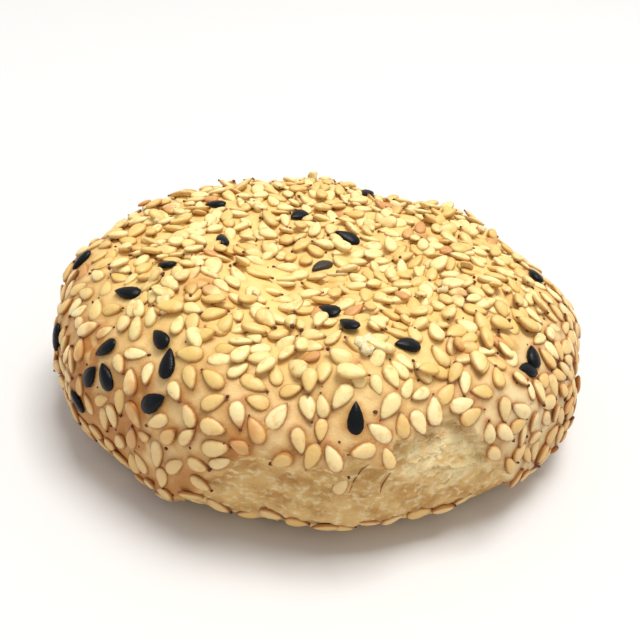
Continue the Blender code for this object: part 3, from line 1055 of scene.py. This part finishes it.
# %% The strips as one piece
def flaky_finish():
    """Dry pale dough in thin sheets, lighter towards the free edge."""
    material, tree, shader, place = new_material("flaky_dough")
    base = browned(tree, place, shown(226, 190, 124), shown(190, 138, 76), 380.0, 0.45, 0.75)
    lighter = times(tree, spread(tree, attribute(tree, "free"), 0.55, 1.0), 0.65)
    connect(tree, shader.inputs["Base Color"], blend_colours(tree, lighter, base, shown(246, 224, 172)))
    shader.inputs["Roughness"].default_value = 0.75
    let_light_in(shader, 0.2, (1.0, 0.6, 0.3))
    add_grain(tree, shader, place, 1500.0, 0.3, 0.00015)
    return material


strips = []
for i, (start, end, low_start, low_end, proud, ragged) in enumerate(LEDGES):
    edge = (start, end, low_start, low_end)
    stations = round(1.3 * (end - start))
    strips.append((*edge, LEDGE_REACH, proud, LEDGE_THICKNESS, ragged, 300 + i, stations))
strips += short_flakes(SHORT_FLAKES, 77)
strip_points, strip_faces, strip_free, first = [], [], [], 0
for one in strips:
    shape, free = strip(*one)
    strip_faces += [[corner + first for corner in face] for face in closed_tube(*shape.shape[:2])]
    first += shape[..., 0].size
    strip_points.append(shape.reshape(-1, 3))
    strip_free.append(free.ravel())
free = np.concatenate(strip_free)
make_piece("torn_layers", np.concatenate(strip_points), strip_faces, flaky_finish(), "flaky_dough", free=free)

# %% [markdown]
# ## Seed tips, bran specks and crumbs
#
# Where a hulled seed was joined to its pod there is a dark dot, and dots that have broken off lie loose
# between the seeds. They are small blobs. A few pale crumbs of dough stick to the skin, and those are
# larger blobs with more relief. Here and there a brown thread hangs from a seed.


# %% Blobs
def blobs(middles, outs, sizes, rough, seed, rings, spokes):
    """Balls in rings and spokes, stretched to each size and dented at random. Returns points and faces."""
    rng = np.random.default_rng(seed)
    count = len(middles)
    polar = np.linspace(0, math.pi, rings + 2)[1:-1, None]
    turn = np.linspace(0, 2 * math.pi, spokes, endpoint=False)
    x, y, z = np.sin(polar) * np.cos(turn), np.sin(polar) * np.sin(turn), np.cos(polar) * np.ones_like(turn)
    ball = np.concatenate([np.stack([x, y, z], axis=-1).reshape(-1, 3), [[0, 0, 1], [0, 0, -1]]])
    shape = ball * sizes[:, None] * (1 + rough * rng.normal(size=(count, len(ball), 1)))
    side = unit(np.cross(outs, rng.normal(size=(count, 3))))
    axes = np.stack([side, np.cross(outs, side), outs], axis=1)
    faces = renumber(closed_ball(rings, spokes, flip=True), count, len(ball))
    return middles[:, None] + shape @ axes, faces


# %% Tips and specks
def speck_finish(name, dark, light):
    """Dull brown that varies between two colours."""
    material, tree, shader, place = new_material(name)
    connect(tree, shader.inputs["Base Color"], browned(tree, place, dark, light, 600.0, 0.50, 0.75))
    shader.inputs["Roughness"].default_value = 0.6
    return material


speck_rng = np.random.default_rng(90)
dotted = speck_rng.uniform(size=len(pale_tips)) < 0.55
loose, _ = scatter(620, (np.zeros((0, 3, 3)), np.zeros((0, 3))), 0.0006, 91)
loose_here, _, _, loose_out = skin_frame(loose[0], loose[1])
speck_middles = np.concatenate([pale_tips[dotted], loose_here + 0.00008 * loose_out])
speck_outs = np.concatenate([pale_outs[dotted], loose_out])
speck_sizes = speck_rng.uniform(0.00012, 0.00026, (len(speck_middles), 1))
speck_sizes = speck_sizes * speck_rng.uniform(0.7, 1.2, (len(speck_middles), 3))
speck_points, speck_faces = blobs(speck_middles, speck_outs, speck_sizes, 0.12, 92, rings=3, spokes=6)
dark_brown = speck_finish("bran_specks", shown(92, 42, 14), shown(150, 80, 32))
make_piece("bran_specks", speck_points, speck_faces, dark_brown)

# %% Threads
# Brown strands, two of them over the torn band: degrees from the front and share up the skin at both ends
THREADS = ((10.6, 0.362, 7.6, 0.290), (15.4, 0.336, 13.5, 0.282), (-4.0, 0.690, -1.5, 0.712))
THREAD_RADIUS = 0.00008
THREAD_STATIONS = 12
THREAD_SPOKES = 6


def thread(start, share_start, end, share_end):
    """A thin round strand along the skin, bowed to one side by a sine, its radius falling at both ends."""
    t = np.linspace(0, 1, THREAD_STATIONS)[:, None]
    turn = np.linspace(0, 2 * math.pi, THREAD_SPOKES, endpoint=False)[None, :]
    radius = THREAD_RADIUS * (0.15 + np.sin(math.pi * t) ** 0.5)
    bow = math.radians(0.7) * np.sin(math.pi * t)
    angle = FRONT + np.radians(start + (end - start) * t) - bow + radius / RADIUS * np.cos(turn)
    share = share_start + (share_end - share_start) * t
    return dough(angle, share + 0 * turn, 0.0001 + radius * np.sin(turn))


thread_points = np.stack([thread(*ends) for ends in THREADS])
one_thread = [face[::-1] for face in closed_tube(THREAD_STATIONS, THREAD_SPOKES)]
thread_faces = renumber(one_thread, len(THREADS), THREAD_STATIONS * THREAD_SPOKES)
brown = speck_finish("threads", shown(140, 82, 40), shown(170, 108, 58))
make_piece("threads", thread_points, thread_faces, brown)

# %% Crumbs
# Degrees from the front, share of the way up the skin, then the crumb's three sizes in mm
CRUMBS = (
    (12.2, 0.579, 1.5, 1.0, 0.38),
    (14.2, 0.584, 0.8, 0.5, 0.36),
    (10.8, 0.586, 0.8, 0.7, 0.36),
    (11.8, 0.568, 0.7, 0.6, 0.32),
    (-173.5, 0.590, 0.9, 0.7, 1.1),
    (-30.0, 0.720, 0.6, 0.4, 0.3),
    (60.0, 0.700, 0.6, 0.5, 0.4),
    (-100.0, 0.600, 0.8, 0.5, 0.4),
    (120.0, 0.560, 0.7, 0.6, 0.4),
)


def crumb_finish():
    """Dry, nearly white dough with a few yellower spots."""
    material, tree, shader, place = new_material("crumb")
    mottled = browned(tree, place, shown(242, 224, 178), shown(234, 192, 104), 700.0, 0.52, 0.70)
    connect(tree, shader.inputs["Base Color"], mottled)
    shader.inputs["Roughness"].default_value = 0.8
    add_grain(tree, shader, place, 1500.0, 0.3, 0.00012)
    return material


crumb_rows = np.array(CRUMBS)
crumb_sizes = crumb_rows[:, 2:] / 1000
crumb_here, _, _, crumb_out = skin_frame(FRONT + np.radians(crumb_rows[:, 0]), crumb_rows[:, 1])
crumb_middles = crumb_here + crumb_out * (0.0005 + crumb_sizes[:, 2:] * 0.6)
crumb_points, crumb_faces = blobs(crumb_middles, crumb_out, crumb_sizes, 0.24, 93, rings=6, spokes=10)
make_piece("crumbs", crumb_points, crumb_faces, crumb_finish(), "flaky_dough")
